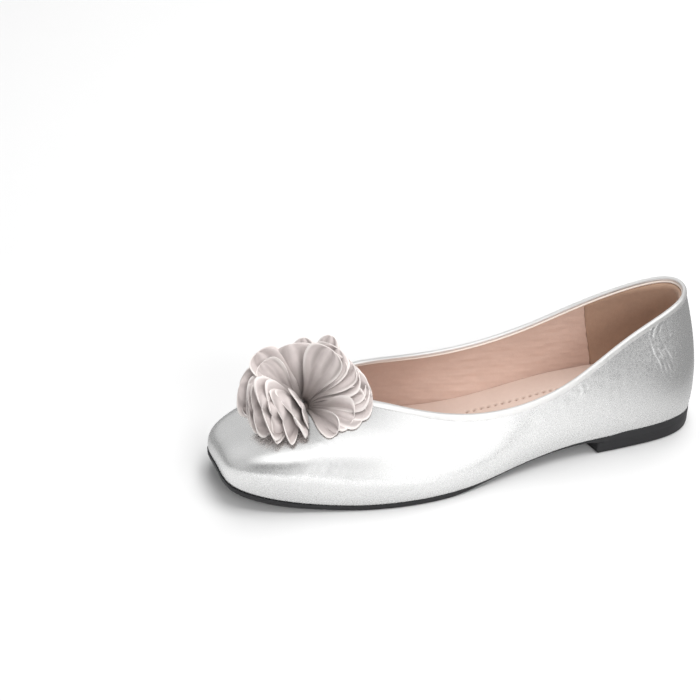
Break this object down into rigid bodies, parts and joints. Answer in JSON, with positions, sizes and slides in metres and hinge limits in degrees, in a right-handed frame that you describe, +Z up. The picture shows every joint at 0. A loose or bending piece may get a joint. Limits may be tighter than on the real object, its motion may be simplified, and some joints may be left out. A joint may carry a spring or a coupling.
{
  "type": "ballet flat",
  "caption": "Left square-toed ballet flat in silver leather, with a bound topline, a thin sprung sole, a low heel and a fabric flower on the vamp.",
  "frame": {"origin": "on the floor, under the middle of the shoe's box", "axes": "+X from the toe towards the heel, +Y towards the inner side of the foot, +Z up"},
  "size_m": [0.2398, 0.0824, 0.0709],
  "materials": {
    "silver_leather": "metallic silver foil, soft gloss, fine creases",
    "black_rubber": "matt charcoal, fine moulded grain",
    "tan_leather": "soft matt nude lining leather",
    "greige_fabric": "matt satin with sealed cut edges"
  },
  "bodies": {
    "root": {"upper": "silver_leather", "outsole": "black_rubber", "heel": "black_rubber", "insole": "tan_leather", "flower": "greige_fabric"}
  },
  "joints": []
}
